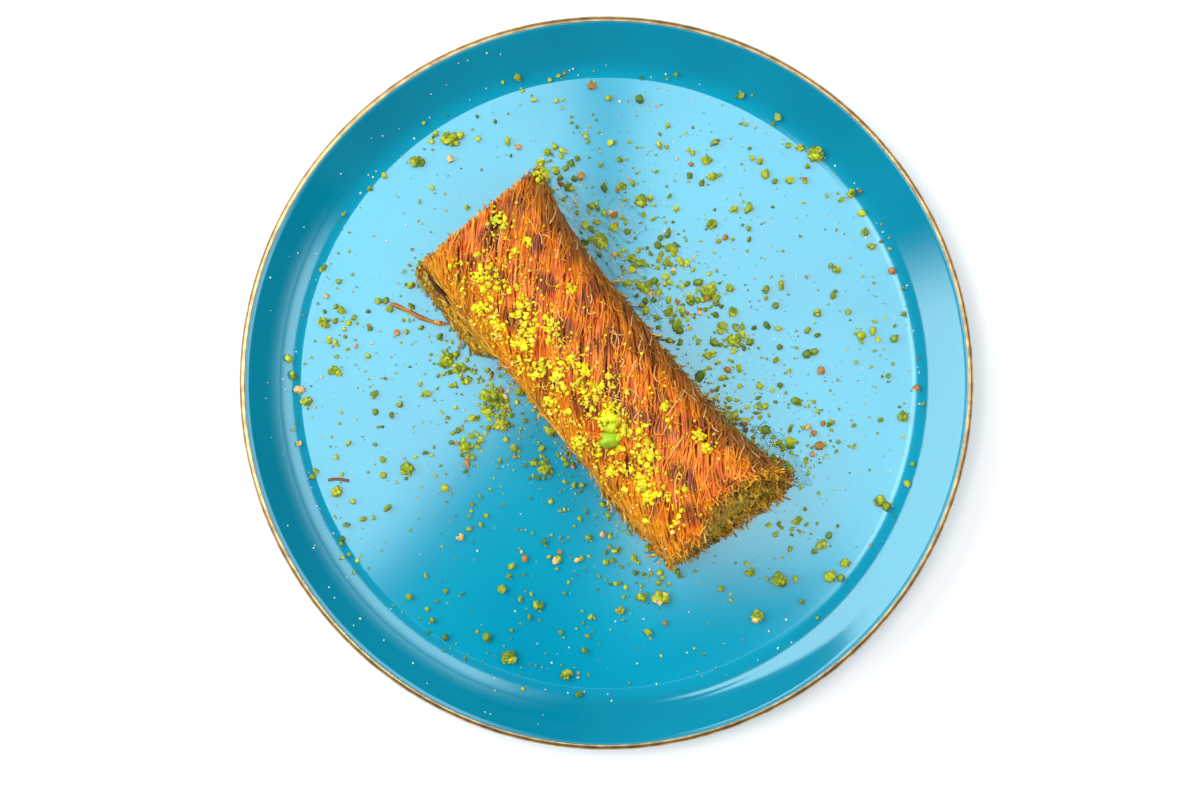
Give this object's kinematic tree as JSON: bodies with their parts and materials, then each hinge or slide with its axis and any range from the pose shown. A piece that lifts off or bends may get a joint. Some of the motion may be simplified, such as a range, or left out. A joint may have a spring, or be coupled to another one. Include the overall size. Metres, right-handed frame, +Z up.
{
  "type": "kadayif roll on a plate",
  "caption": "Roll of baked pastry shreds wound obliquely round a ground pistachio filling, on a round coupe plate with a raised sloping wall and a foot ring, strewn with chopped pistachio.",
  "frame": {"origin": "middle of the plate, on the table that its foot ring stands on", "axes": "+Z up; +X to the right and +Y away from the viewer as in the picture; the roll lies on the plate with its far end to the left and its near end to the right"},
  "size_m": [0.21, 0.21, 0.039],
  "materials": {
    "glazed_stoneware": "glossy turquoise glaze, a little mottled",
    "gold_rim": "thin polished gold line on the lip of the plate",
    "baked_pastry": "crisp shreds browned to orange and red-brown, glazed with syrup",
    "ground_pistachio": "matte, moist, yellow-green chopped nut",
    "syrup": "clear glossy sugar syrup in thin smears"
  },
  "bodies": {
    "root": {"plate": "glazed_stoneware", "kadayif_roll": "baked_pastry", "pistachio_filling": "ground_pistachio"}
  },
  "joints": []
}
